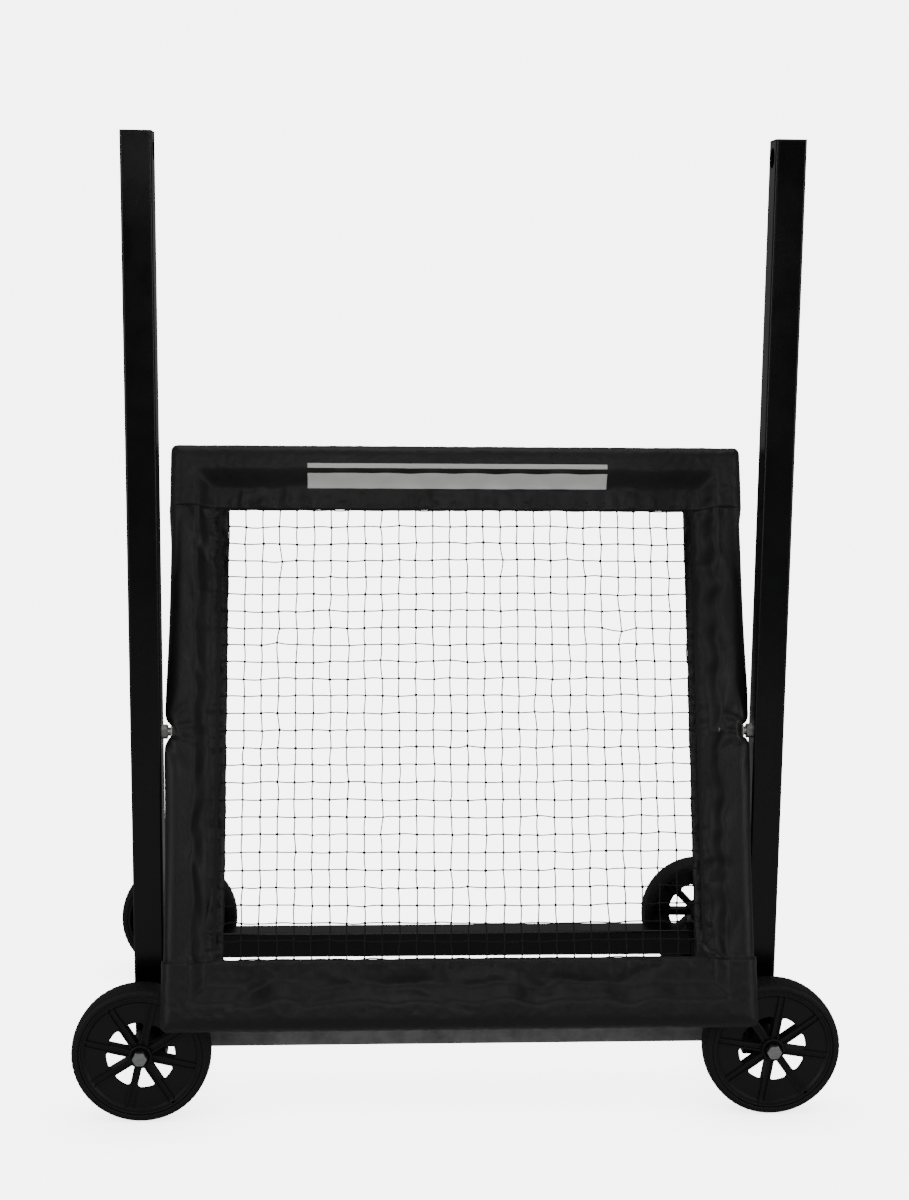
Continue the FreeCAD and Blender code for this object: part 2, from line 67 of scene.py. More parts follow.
# %% Places and driving sizes
MM = 0.001
PIVOT = Vector(next(j["pos_m"] for j in frame["record"]["behaviour"]["joints"]
                    if j["name"] == "net_tilt"))
TILT = math.radians(19.05)
ACROSS = Vector((1, 0, 0))
UP_FRAME = Vector((0, math.sin(TILT), math.cos(TILT)))
OUT_FRONT = Vector((0, -math.cos(TILT), math.sin(TILT)))

HALF_WIDTH = 430 * MM
HALF_LENGTH = 430.5 * MM
SIDE_WIDTH = 88 * MM
TOP_WIDTH = 98 * MM
BOTTOM_WIDTH = 101 * MM
HALF_DEPTH = 22.6 * MM
OPENING_X = HALF_WIDTH - SIDE_WIDTH
OPENING_TOP = HALF_LENGTH - TOP_WIDTH
OPENING_BOTTOM = -HALF_LENGTH + BOTTOM_WIDTH
print("pivot line at", [round(v, 4) for v in PIVOT])


def on_frame(x, v, n):
    """A point of the net frame: across, up along the frame, and out of its front."""
    return PIVOT + ACROSS * x + UP_FRAME * v + OUT_FRONT * n


# %% [markdown]
# ## The camera
#
# A longish lens a little above the top of the net, to the left of the middle. Its three turns
# are written out one by one, so that each can be read as a turn of the tripod head.

# %% Camera
def turned_camera(place, right_deg, down_deg, roll_deg):
    """A camera matrix that first looks along +Y, and is then turned right, down and rolled."""
    right, down, roll = (math.radians(a) for a in (right_deg, down_deg, roll_deg))
    ahead = Vector((math.sin(right) * math.cos(down), math.cos(right) * math.cos(down),
                    -math.sin(down)))
    level = Vector((math.cos(right), -math.sin(right), 0))
    above = level.cross(ahead)
    side = level * math.cos(roll) + above * math.sin(roll)
    top = above * math.cos(roll) - level * math.sin(roll)
    turn = Matrix((side, top, -ahead)).transposed().to_4x4()
    return Matrix.Translation(place) @ turn


lens = bpy.data.cameras.new("camera")
lens.sensor_width = 36
lens.lens = 56.1
lens.clip_end = 50
camera = bpy.data.objects.new("camera", lens)
camera.matrix_world = turned_camera((-0.1512, -2.8855, 1.1997), 3.03, 9.31, 0.59)
bpy.context.collection.objects.link(camera)
bpy.context.scene.camera = camera
print("camera at", tuple(round(v, 2) for v in camera.location))

# %% [markdown]
# ## Small tools
#
# Colours are picked as sRGB hex, as on a paint chart, and one function turns them to the linear
# values that light works in. One more function adds a shader node with its settings and links.


# %% Colour and node helpers
def colour(hex_code):
    """An sRGB hex colour as linear red, green, blue and alpha."""
    parts = [int(hex_code[i:i + 2], 16) / 255 for i in (1, 3, 5)]
    return [p / 12.92 if p <= 0.04045 else ((p + 0.055) / 1.055) ** 2.4 for p in parts] + [1.0]


def add_node(tree, kind, inputs=None, **settings):
    """Adds a node. An input is a value, or the output socket that feeds it."""
    node = tree.nodes.new(kind)
    for name, value in settings.items():
        setattr(node, name, value)
    for name, value in (inputs or {}).items():
        if isinstance(value, bpy.types.NodeSocket):
            tree.links.new(value, node.inputs[name])
        else:
            node.inputs[name].default_value = value
    return node


def set_ramp(node, *stops):
    """Gives a two-colour ramp its (position, hex colour) stops."""
    for element, (position, hex_code) in zip(node.color_ramp.elements, stops):
        element.position = position
        element.color = colour(hex_code)


def new_material(name):
    """An empty node material, with its tree and the place that patterns are measured in."""
    material = bpy.data.materials.new(name)
    material.use_nodes = True
    tree = material.node_tree
    tree.nodes.clear()
    place = add_node(tree, "ShaderNodeTexCoord").outputs["Object"]
    return material, tree, place


def finish_material(tree, **inputs):
    """The surface itself: a Principled shader and the material's output."""
    named = {name.replace("_", " "): value for name, value in inputs.items()}
    surface = add_node(tree, "ShaderNodeBsdfPrincipled", named)
    add_node(tree, "ShaderNodeOutputMaterial", {"Surface": surface.outputs[0]})


# %% [markdown]
# ## Steel finishes
#
# The tubes are powder-coated mild steel. The powder melts into a glossy skin with a faint orange
# peel, a few millimetres from crest to crest, and picks up dust. The bolts are zinc plated: a
# bright bluish metal, a little cloudy, with fine marks from barrel plating.

# %% Powder-coated steel
ORANGE_PEEL = 2.5 * MM
DUST_PATCH = 120 * MM


def powder_coat():
    material, tree, place = new_material("powder_coated_steel")
    dust = add_node(tree, "ShaderNodeTexNoise", {"Vector": place, "Scale": 1 / DUST_PATCH,
                                                 "Detail": 6.0, "Roughness": 0.65})
    base = add_node(tree, "ShaderNodeValToRGB", {"Fac": dust.outputs["Fac"]})
    set_ramp(base, (0.42, "#060607"), (0.75, "#101011"))
    gloss = add_node(tree, "ShaderNodeMapRange", {"Value": dust.outputs["Fac"], "From Min": 0.35,
                                                  "From Max": 0.7, "To Min": 0.2, "To Max": 0.3})
    peel = add_node(tree, "ShaderNodeTexNoise", {"Vector": place, "Scale": 1 / ORANGE_PEEL,
                                                 "Detail": 1.0})
    bump = add_node(tree, "ShaderNodeBump", {"Height": peel.outputs["Fac"], "Strength": 0.12,
                                             "Distance": 0.1 * MM})
    finish_material(tree, Base_Color=base.outputs["Color"], Roughness=gloss.outputs["Result"],
                    IOR=1.5, Normal=bump.outputs["Normal"])
    return material


POWDER_COAT = powder_coat()


# %% Powder coat painted pale with floor reflection
def painted_reflection_coat():
    """The low front tube is drawn dull and pale grey, a painted reflection of the bright floor."""
    material, tree, place = new_material("coat_with_painted_floor_reflection")
    reflection_blotch_noise = add_node(tree, "ShaderNodeTexNoise", {"Vector": place, "Scale": 1 / (45 * MM),
                                                       "Detail": 8.0, "Roughness": 0.7})
    base = add_node(tree, "ShaderNodeValToRGB", {"Fac": reflection_blotch_noise.outputs["Fac"]})
    # painted floor reflection: this pale grey stands in for the floor light that the tube mirrors
    set_ramp(base, (0.35, "#828283"), (0.65, "#aaaaab"))
    fine = add_node(tree, "ShaderNodeTexNoise", {"Vector": place, "Scale": 1 / (1.2 * MM)})
    bump = add_node(tree, "ShaderNodeBump", {"Height": fine.outputs["Fac"], "Strength": 0.3,
                                             "Distance": 0.1 * MM})
    finish_material(tree, Base_Color=base.outputs["Color"], Roughness=0.55, IOR=1.5,
                    Normal=bump.outputs["Normal"])
    return material


FLOOR_REFLECTION_COAT = painted_reflection_coat()


# %% Weld bead under powder coat
def coated_weld():
    """The same paint over a row of overlapping weld ripples, about 2 mm apart."""
    ripple = 2.2 * MM
    material, tree, place = new_material("powder_coated_weld")
    wave = add_node(tree, "ShaderNodeTexVoronoi", {"Vector": place, "Scale": 1 / ripple})
    bump = add_node(tree, "ShaderNodeBump", {"Height": wave.outputs["Distance"], "Strength": 0.8,
                                             "Distance": 0.5 * MM})
    finish_material(tree, Base_Color=colour("#0b0b0c"), Roughness=0.3, IOR=1.5,
                    Normal=bump.outputs["Normal"])
    return material


COATED_WELD = coated_weld()


# %% Zinc plate and black oxide
def plated(name, cloud_size, detail, dark, light, smooth, dull, scratch_depth):
    """A cloudy metal skin with fine marks. Plating clouds over a few millimetres."""
    material, tree, place = new_material(name)
    cloud = add_node(tree, "ShaderNodeTexNoise", {"Vector": place, "Scale": 1 / cloud_size,
                                                  "Detail": detail})
    base = add_node(tree, "ShaderNodeValToRGB", {"Fac": cloud.outputs["Fac"]})
    set_ramp(base, (0.0, dark), (1.0, light))
    gloss = add_node(tree, "ShaderNodeMapRange", {"Value": cloud.outputs["Fac"],
                                                  "To Min": smooth, "To Max": dull})
    scratch = add_node(tree, "ShaderNodeTexNoise", {"Vector": place, "Scale": 1 / (0.8 * MM)})
    bump = add_node(tree, "ShaderNodeBump", {"Height": scratch.outputs["Fac"], "Strength": 0.25,
                                             "Distance": scratch_depth})
    finish_material(tree, Base_Color=base.outputs["Color"], Metallic=1.0,
                    Roughness=gloss.outputs["Result"], Normal=bump.outputs["Normal"])
    return material


ZINC = plated("zinc_plated_steel", 5 * MM, 5.0, "#a9abac", "#dcdedd", 0.3, 0.5, 0.05 * MM)
BLACK_OXIDE = plated("black_oxide_steel", 4 * MM, 4.0, "#161617", "#2a2a2b", 0.45, 0.6, 0.01 * MM)

# %% [markdown]
# ## Vinyl, plastics and twine
#
# The sleeves are PVC-coated polyester. The woven cloth shows through its coating as a fine even
# grain. Real threads are about 0.6 mm apart, which is too fine to show, so the grain is drawn at
# 1.6 mm. The coating has a soft shine that dulls where dust lies.


# %% Coated polyester
def coated_polyester():
    thread = 1.6 * MM
    material, tree, place = new_material("pvc_coated_polyester")
    split = add_node(tree, "ShaderNodeSeparateXYZ", {"Vector": place})
    waves = []
    for axis in ("X", "Z"):
        phase = add_node(tree, "ShaderNodeMath", {0: split.outputs[axis], 1: 2 * math.pi / thread},
                         operation="MULTIPLY")
        waves.append(add_node(tree, "ShaderNodeMath", {0: phase.outputs[0]}, operation="SINE"))
    weave = add_node(tree, "ShaderNodeMath", {0: waves[0].outputs[0], 1: waves[1].outputs[0]},
                     operation="MULTIPLY")
    dust = add_node(tree, "ShaderNodeTexNoise", {"Vector": place, "Scale": 1 / (90 * MM),
                                                 "Detail": 7.0, "Roughness": 0.6})
    base = add_node(tree, "ShaderNodeValToRGB", {"Fac": dust.outputs["Fac"]})
    set_ramp(base, (0.35, "#101011"), (0.75, "#1a1a1b"))
    gloss = add_node(tree, "ShaderNodeMapRange", {"Value": dust.outputs["Fac"], "From Min": 0.3,
                                                  "From Max": 0.7, "To Min": 0.42, "To Max": 0.56})
    crease = add_node(tree, "ShaderNodeTexNoise", {"Vector": place, "Scale": 1 / (26 * MM),
                                                   "Detail": 4.0, "Distortion": 0.6})
    soft = add_node(tree, "ShaderNodeBump", {"Height": crease.outputs["Fac"], "Strength": 0.35,
                                             "Distance": 2.0 * MM})
    bump = add_node(tree, "ShaderNodeBump", {"Height": weave.outputs[0], "Strength": 0.25,
                                             "Distance": 0.12 * MM, "Normal": soft.outputs[0]})
    finish_material(tree, Base_Color=base.outputs["Color"], Roughness=gloss.outputs["Result"],
                    IOR=1.5, Sheen_Weight=0.08, Sheen_Roughness=0.5,
                    Normal=bump.outputs["Normal"])
    return material


VINYL = coated_polyester()


# %% Plain plastics, rubber, thread and print
def moulded(name, hex_code, roughness, grain, depth, spread=0.08):
    """A moulded or spun surface: one colour that varies a little, and a grain of real size."""
    material, tree, place = new_material(name)
    patch = add_node(tree, "ShaderNodeTexNoise", {"Vector": place, "Scale": 1 / (30 * MM),
                                                  "Detail": 5.0})
    light = add_node(tree, "ShaderNodeMapRange", {"Value": patch.outputs["Fac"],
                                                  "To Min": 1 - 3 * spread, "To Max": 1 + 3 * spread})
    base = add_node(tree, "ShaderNodeHueSaturation", {"Color": colour(hex_code),
                                                      "Value": light.outputs["Result"]})
    gloss = add_node(tree, "ShaderNodeMapRange", {"Value": patch.outputs["Fac"],
                                                  "To Min": roughness - spread,
                                                  "To Max": roughness + spread})
    fine = add_node(tree, "ShaderNodeTexNoise", {"Vector": place, "Scale": 1 / grain})
    bump = add_node(tree, "ShaderNodeBump", {"Height": fine.outputs["Fac"], "Strength": 0.4,
                                             "Distance": depth})
    finish_material(tree, Base_Color=base.outputs["Color"], Roughness=gloss.outputs["Result"],
                    IOR=1.5, Normal=bump.outputs["Normal"])
    return material


WHEEL_PLASTIC = moulded("moulded_polypropylene", "#141415", 0.5, 1.2 * MM, 0.08 * MM)
TYRE_RUBBER = moulded("solid_rubber", "#131313", 0.62, 1.5 * MM, 0.12 * MM)
CAP_PLASTIC = moulded("moulded_polyethylene", "#0d0d0e", 0.5, 1.0 * MM, 0.06 * MM)
NYLON = moulded("cast_nylon", "#cdc8b8", 0.4, 1.0 * MM, 0.03 * MM, 0.03)
FOAM = moulded("closed_cell_foam", "#2a2a2b", 0.9, 2.0 * MM, 0.5 * MM)
TWINE = moulded("knotted_nylon_twine", "#0e0e0f", 0.65, 1.0 * MM, 0.15 * MM)
THREAD = moulded("polyester_sewing_thread", "#2a2a2b", 0.55, 0.5 * MM, 0.1 * MM)
HOOK_TAPE = moulded("hook_and_loop_tape", "#101011", 0.9, 0.9 * MM, 0.5 * MM)
PRINT = moulded("screen_print_ink", "#f4f4f2", 0.45, 0.8 * MM, 0.03 * MM, 0.02)

# %% [markdown]
# ## Finishes for the design's own pieces
#
# Each node keeps its mesh and gets the finish of its slot in the record, except the weld beads,
# which get a weld finish, and the front cross tube, whose coat has a painted floor reflection.

# %% Assign finishes
SLOT_FINISH = {
    "black_powder_coat": POWDER_COAT, "cap_plastic": CAP_PLASTIC, "zinc_hardware": ZINC,
    "black_hardware": BLACK_OXIDE, "foam": FOAM, "sleeve_vinyl": VINYL, "net_twine": TWINE,
    "frame_steel": POWDER_COAT, "nylon": NYLON, "tyre": TYRE_RUBBER, "wheel_plastic": WHEEL_PLASTIC,
}


def wear(obj, material):
    """The object's only material."""
    obj.data.materials.clear()
    obj.data.materials.append(material)


slot_of = {s["node"]: s["material_slot"] for s in frame["record"]["subparts"]}
# the front cross tube wears the coat with a painted floor reflection
own_finish = {"front_weld_beads": COATED_WELD, "rear_weld_beads": COATED_WELD,
              "front_cross_tube": FLOOR_REFLECTION_COAT}
for node, obj in frame["nodes"].items():
    wear(obj, own_finish.get(node, SLOT_FINISH[slot_of[node]]))
print(len(slot_of), "nodes have a finish")


# %% [markdown]
# ## Mesh helpers
#
# A grid of points becomes a quad mesh. Closed loops and end walls are added by the piece that
# needs them. Edges stay crisp past a chosen angle and smooth below it.


# %% Mesh helpers
def raw_object(name, verts, faces, merge=0.0):
    """A linked mesh object whose faces all point outward."""
    mesh = bpy.data.meshes.new(name)
    mesh.from_pydata([tuple(v) for v in verts], [], faces)
    obj = bpy.data.objects.new(name, mesh)
    bpy.context.collection.objects.link(obj)
    bm = bmesh.new()
    bm.from_mesh(mesh)
    if merge:
        bmesh.ops.remove_doubles(bm, verts=bm.verts, dist=merge)
    bmesh.ops.recalc_face_normals(bm, faces=bm.faces)
    bm.to_mesh(mesh)
    bm.free()
    return obj


def make_piece(name, verts, faces, material, body, sharp_deg=40):
    """A mesh object with outward faces, its finish and the body that carries it."""
    mesh = bpy.data.meshes.new(name)
    mesh.from_pydata([tuple(v) for v in verts], [], faces)
    obj = bpy.data.objects.new(name, mesh)
    bpy.context.collection.objects.link(obj)
    tidy_mesh(mesh, sharp_deg)
    wear(obj, material)
    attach(obj, body)
    return obj


def tidy_mesh(mesh, sharp_deg):
    bm = bmesh.new()
    bm.from_mesh(mesh)
    bmesh.ops.remove_doubles(bm, verts=bm.verts, dist=0.02 * MM)
    bmesh.ops.dissolve_degenerate(bm, dist=0.01 * MM, edges=bm.edges)
    bmesh.ops.recalc_face_normals(bm, faces=bm.faces)
    for face in bm.faces:
        face.smooth = True
    limit = math.radians(sharp_deg)
    for edge in bm.edges:
        edge.smooth = len(edge.link_faces) == 2 and edge.calc_face_angle(0.0) < limit
    bm.to_mesh(mesh)
    bm.free()


def apply_modifier(obj, modifier):
    bpy.context.view_layer.objects.active = obj
    with bpy.context.temp_override(object=obj, active_object=obj):
        bpy.ops.object.modifier_apply(modifier=modifier.name)


def join(verts, faces, more_verts, more_faces):
    """Adds one closed shape to the lists of a larger mesh."""
    faces += [tuple(i + len(verts) for i in face) for face in more_faces]
    verts += more_verts


def grid_faces(rows, columns, wrap_columns=False, wrap_rows=False):
    """Quads between neighbouring points of a grid that is stored row by row."""
    faces = []
    for r in range(rows if wrap_rows else rows - 1):
        for c in range(columns if wrap_columns else columns - 1):
            below, beside = (r + 1) % rows, (c + 1) % columns
            faces.append((r * columns + c, r * columns + beside,
                          below * columns + beside, below * columns + c))
    return faces


# %% [markdown]
# ## The padded frame
#
# The four sleeves share one shape. Near its outer edge the pad is round over its foam and tube.
# Further in, the vinyl comes together into a flat flap that ends in a hem at the net. The
# thickness at any point follows from its distance to the outer and the inner edges, so the
# corners come out right by themselves.

# %% Thickness of the pad
ROUND_POWER = 2.5            # above 2 the round edge is squarer than a circle
FLAP_STARTS = 38 * MM
FLAP_FLAT = 66 * MM
FLAP_HALF = 3.2 * MM
CORNER_RADIUS = 11 * MM


def edge_round(t):
    u = np.clip(t / HALF_DEPTH, 0, 1)
    return (1 - (1 - u) ** ROUND_POWER) ** (1 / ROUND_POWER)


def flap_thin(t):
    """1 over the foam, falling to the flap's share of the thickness."""
    u = np.clip((t - FLAP_STARTS) / (FLAP_FLAT - FLAP_STARTS), 0, 1)
    smooth = u * u * (3 - 2 * u)
    return 1 - (1 - FLAP_HALF / HALF_DEPTH) * smooth


def pad_half_thickness(x, v, slack=0.0):
    """Half the thickness at a place. Slack moves the dip beside the flap in or out."""
    from_side = HALF_WIDTH - np.abs(x)
    from_end = HALF_LENGTH - np.abs(v)
    body = np.maximum(flap_thin(from_side + slack), flap_thin(from_end + slack))
    return HALF_DEPTH * body * np.minimum(edge_round(from_side), edge_round(from_end))


def round_corner(x, v):
    """Pulls the square outline in to a rounded one at the four outer corners."""
    r = CORNER_RADIUS
    dx = np.maximum(np.abs(x) - (HALF_WIDTH - r), 0)
    dv = np.maximum(np.abs(v) - (HALF_LENGTH - r), 0)
    far = np.hypot(dx, dv)
    square = np.maximum(dx, dv)
    pull = np.where(far > 0, 1 - square / np.maximum(far, 1e-9), 0)
    return x - np.sign(x) * dx * pull, v - np.sign(v) * dv * pull


# %% [markdown]
# ## Sleeves as cloth
#
# Each sleeve starts as a smooth skin and is then settled as cloth. The sheet is cut a little
# larger than the pad, its hems are held, and slight pressure stands in for the foam. The spare
# vinyl buckles round the short puckers and slanting folds that it starts with.
# How far a point may move is capped, so the skin stays on its foam.

# %% Gathers
class Gathers:
    """Uneven puckers along a hem, a waver of the dip behind them, and slanting folds in the dip."""

    def __init__(self, seed, length, fold_share):
        source = random.Random(seed)
        self.length = length
        self.waves = [(source.uniform(0.05, 0.16), source.uniform(0, 6.28),
                       source.uniform(0.5, 1.0)) for _ in range(5)]
        self.puckers = []
        place = -length / 2 + 10 * MM
        while place < length / 2 - 10 * MM:
            self.puckers.append((place, source.uniform(3.2, 5.0) * MM,
                                 source.uniform(-0.6, 1.0) * GATHER_DEPTH,
                                 source.uniform(14, 34) * MM, source.uniform(-0.15, 0.15)))
            place += source.uniform(7, 19) * MM
        self.folds = []
        place = -length / 2 + 40 * MM
        while place < length / 2 - 40 * MM:
            self.folds.append((place, source.uniform(26, 56) * MM, source.uniform(-0.6, 0.6),
                               source.uniform(14, 42) * MM,
                               source.choice((-1.0, -0.7, 0.6)) * FOLD_DEPTH * fold_share))
            place += source.uniform(30, 85) * MM

    def fade(self, along):
        return min(1.0, max(0.0, (self.length / 2 - abs(along)) / (40 * MM)))

    def slack(self, along):
        total = sum(size * math.sin(6.28 * along / wave + phase) for wave, phase, size in self.waves)
        return DIP_WAVER * total * self.fade(along)

    def height(self, along, from_hem):
        """How far the vinyl stands up or dips at a place, measured from the hem."""
        total = 0.0
        for place, width, size, reach, lean in self.puckers:
            off = along - place - lean * from_hem
            if abs(off) < 3 * width and from_hem < 3 * reach:
                rise = min(1.0, from_hem / (6 * MM))
                total += size * rise * math.exp(-(off / width) ** 2 - (from_hem / reach) ** 2)
        for place, far, slope, reach, size in self.folds:
            run = along - place
            off = from_hem - far - slope * run
            total += size * math.exp(-(off / FOLD_WIDTH) ** 2 - (run / reach) ** 2)
        return total


GATHER_DEPTH = 4.0 * MM
DIP_WAVER = 1.8 * MM
FOLD_DEPTH = 3.4 * MM
FOLD_WIDTH = 6 * MM
FOLD_SHARE = {"top": 0.3, "bottom": 1.0, "left": 0.7, "right": 0.7}

# %% Skin of one sleeve
ARC_STEPS = 8
SKIN_STEP = 4.8 * MM
OVERLAP = 8 * MM
THINNEST = 0.9 * MM          # half the thickness where a pucker presses the flap
STEP_DOWN = 1.3 * MM         # the side sleeves pass inside the top and bottom ones


def spaced(width):
    """Distances from the outer edge: close together round the edge, then even."""
    arc = [HALF_DEPTH * (1 - math.cos(math.pi / 2 * i / ARC_STEPS)) for i in range(ARC_STEPS + 1)]
    count = max(2, round((width - HALF_DEPTH) / SKIN_STEP))
    return arc + [HALF_DEPTH + (width - HALF_DEPTH) * (i + 1) / count for i in range(count)]


def along_points(kind):
    """Places along a sleeve: the top and bottom ones run from side to side."""
    if kind in ("top", "bottom"):
        left = [-HALF_WIDTH + t for t in spaced(HALF_WIDTH)]
        return np.array(left[:-1] + [-x for x in reversed(left)])
    low, high = OPENING_BOTTOM - OVERLAP, OPENING_TOP + OVERLAP
    return np.linspace(low, high, round((high - low) / SKIN_STEP) + 1)


def sleeve_skin(kind, seed):
    """Verts, faces, and the indices of the held points, of one closed sleeve."""
    opening = 2 * (OPENING_X if kind in ("top", "bottom") else (OPENING_TOP - OPENING_BOTTOM) / 2)
    gathers = {True: Gathers(seed, opening, FOLD_SHARE[kind]),
               False: Gathers(seed + 50, opening, FOLD_SHARE[kind])}
    width = {"top": TOP_WIDTH, "bottom": BOTTOM_WIDTH}.get(kind, SIDE_WIDTH)
    across = np.array(spaced(width))
    along = along_points(kind)
    sign = -1 if kind in ("bottom", "left") else 1
    outer = HALF_LENGTH if kind in ("top", "bottom") else HALF_WIDTH
    loop = list(reversed(range(1, len(across)))) + list(range(len(across)))
    front = [True] * (len(across) - 1) + [True] + [False] * (len(across) - 1)
    verts, held = [], []
    for row, (k, is_front) in enumerate(zip(loop, front)):
        for column, a in enumerate(along):
            b = sign * (outer - across[k])
            x, v = (a, b) if kind in ("top", "bottom") else (b, a)
            n = float(pad_half_thickness(x, v, gathers[is_front].slack(a)))
            n += gathers[is_front].height(a, across[-1] - across[k])
            if kind in ("left", "right"):
                n -= STEP_DOWN
            n = max(n, THINNEST if 0 < k < len(across) - 1 else 0.0)
            x, v = round_corner(x, v)
            verts.append(on_frame(float(x), float(v), n if is_front else -n))
            at_end = column in (0, len(along) - 1)
            if k >= len(across) - 1 or at_end:
                held.append(row * len(along) + column)
    rows, columns = len(loop), len(along)
    faces = grid_faces(rows, columns, wrap_rows=True)
    half = len(across) - 1
    if kind in ("left", "right"):
        for column in (0, columns - 1):
            for k in range(half):
                a, b = k * columns + column, (k + 1) * columns + column
                c, d = (rows - 2 - k) * columns + column, (rows - 1 - k) * columns + column
                faces.append((a, b, c, d) if k < half - 1 else (a, b, d))
    return verts, faces, held


# %% Settle a skin as cloth
def settle_cloth(obj, held, growth, pressure, frames, cap_in, cap_out, seed):
    """Runs a short cloth simulation on a skin, and keeps its capped result."""
    mesh = obj.data
    count = len(mesh.vertices)
    rest = np.empty(count * 3)
    mesh.vertices.foreach_get("co", rest)
    rest = rest.reshape(-1, 3)
    normals = np.array([v.normal for v in mesh.vertices])
    random_push = np.random.default_rng(seed).normal(0, 0.35 * MM, (count, 1))
    free = np.ones((count, 1))
    free[held] = 0
    mesh.vertices.foreach_set("co", (rest + normals * random_push * free).ravel())
    group = obj.vertex_groups.new(name="held")
    group.add(held, 1.0, "REPLACE")
    cloth = obj.modifiers.new("Cloth", "CLOTH")
    cloth.settings.quality = 5
    cloth.settings.mass = 0.4
    cloth.settings.tension_stiffness = 30
    cloth.settings.compression_stiffness = 30
    cloth.settings.shear_stiffness = 15
    cloth.settings.bending_stiffness = 0.6
    cloth.settings.vertex_group_mass = "held"
    cloth.settings.shrink_min = -growth
    cloth.settings.use_pressure = True
    cloth.settings.uniform_pressure_force = pressure
    cloth.settings.effector_weights.gravity = 0.4
    cloth.collision_settings.use_collision = False
    cloth.point_cache.frame_end = frames
    scene = bpy.context.scene
    for number in range(1, frames + 1):
        scene.frame_set(number)
    settled = obj.evaluated_get(bpy.context.evaluated_depsgraph_get())
    found = np.array([v.co for v in settled.data.vertices])
    obj.modifiers.remove(cloth)
    scene.frame_set(1)
    move = found - rest
    outward = (move * normals).sum(1, keepdims=True)
    sideways = move - normals * outward
    length = np.linalg.norm(sideways, axis=1, keepdims=True)
    sideways *= np.minimum(1, cap_out / np.maximum(length, 1e-9))
    outward = np.clip(outward, -cap_in, cap_out)
    mesh.vertices.foreach_set("co", (rest + normals * outward + sideways).ravel())
    obj.vertex_groups.clear()
    mesh.update()
    print(obj.name, "moved up to", round(float(np.abs(outward).max()) * 1000, 1), "mm")


# %% [markdown]
# ## The pinch at the pivots
#
# Where each pivot bolt passes, the sleeve has an eyelet that is drawn in to the tube, so the
# outer face is pinched and creases run out from the hole. Above and below it the pad swells
# towards the upright. The skin is moved after it has settled, and the small disc in front of the
# bolt is cut out.

# %% Pinch and cut
PINCH_DEPTH = 13 * MM
PINCH_HALF_HEIGHT = 13 * MM
PINCH_REACH = 34 * MM
PRESS_OUT = 5 * MM           # the pad swells against the upright above and below the bolt
PRESS_HALF_HEIGHT = 120 * MM
PRESS_LIMIT = HALF_WIDTH + 3.6 * MM
CREASES = 5
CREASE_DEPTH = 8 * MM
CREASE_REACH = 46 * MM
CREASE_START = 12 * MM
CREASE_SHARPNESS = 0.4       # smaller is a narrower valley
DENT_DEPTH = 2.2 * MM
EYELET_R = 12.6 * MM


def pinch_sleeve(obj, side, seed):
    """Draws a side sleeve in at its pivot, with sharp creases that fade out round it."""
    phase = random.Random(seed).uniform(0, 3)
    for vertex in obj.data.vertices:
        offset = vertex.co - PIVOT
        x, v, n = offset.dot(ACROSS), offset.dot(UP_FRAME), offset.dot(OUT_FRONT)
        from_edge = HALF_WIDTH - abs(x)
        near_edge = max(0, 1 - from_edge / PINCH_REACH)
        reach = math.exp(-(v / PINCH_HALF_HEIGHT) ** 2)
        depth = PINCH_DEPTH * reach * near_edge ** 1.4
        depth -= PRESS_OUT * math.exp(-(v / PRESS_HALF_HEIGHT) ** 2) * near_edge
        depth = max(depth, abs(x) - PRESS_LIMIT)
        radius = math.hypot(v, from_edge + 0.6 * abs(n))
        angle = math.atan2(v, from_edge + 6 * MM)
        wave = math.sin(CREASES * angle + phase + 0.5 * math.sin(3 * angle))
        valley = math.exp(-(wave / CREASE_SHARPNESS) ** 2)
        fade = min(1, radius / CREASE_START) * math.exp(-(radius / CREASE_REACH) ** 2)
        vertex.co -= ACROSS * side * depth
        press = CREASE_DEPTH * valley * fade + DENT_DEPTH * reach * near_edge
        vertex.co -= OUT_FRONT * math.copysign(press, n)


def cut_eyelet(obj, side):
    bm = bmesh.new()
    bm.from_mesh(obj.data)
    inside = []
    for face in bm.faces:
        offset = face.calc_center_median() - PIVOT
        on_side = side * offset.dot(ACROSS) > HALF_WIDTH - 22 * MM
        if on_side and math.hypot(offset.dot(UP_FRAME), offset.dot(OUT_FRONT)) < EYELET_R:
            inside.append(face)
    bmesh.ops.delete(bm, geom=inside, context="FACES")
    bm.to_mesh(obj.data)
    bm.free()
    print(obj.name, "eyelet cut through", len(inside), "faces")


# %% Make the four sleeves
SLEEVES = {}
for seed, kind in enumerate(("top", "bottom", "left", "right")):
    verts, faces, held = sleeve_skin(kind, 20 + seed)
    sleeve = raw_object("vinyl_sleeve_" + kind, verts, faces)
    settle_cloth(sleeve, held, growth=0.06, pressure=0.6, frames=26, cap_in=3.2 * MM,
                 cap_out=3.6 * MM, seed=11 + seed)
    if kind in ("left", "right"):
        side = -1 if kind == "left" else 1
        pinch_sleeve(sleeve, side, 40 + seed)
    smooth = sleeve.modifiers.new("Smooth", "SUBSURF")
    smooth.levels = 1
    smooth.render_levels = 1
    apply_modifier(sleeve, smooth)
    tidy_mesh(sleeve.data, 60)
    if kind in ("left", "right"):
        cut_eyelet(sleeve, side)
    wear(sleeve, VINYL)
    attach(sleeve, "net_frame")
    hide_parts("sleeve_" + kind, "foam_" + kind)
    SLEEVES[kind] = sleeve
    print(sleeve.name, len(sleeve.data.vertices), "points")

# %% [markdown]
# ## Laying things on the sleeves
#
# Stitches, printed stripes and closing tapes all lie on the settled vinyl. A ray sent at the
# frame from the front or the back finds the surface at each place.

# %% Find the surface
bpy.context.view_layer.update()
SURFACES = {}
for kind, sleeve in SLEEVES.items():
    SURFACES[kind] = BVHTree.FromPolygons([v.co for v in sleeve.data.vertices],
                                          [tuple(p.vertices) for p in sleeve.data.polygons])


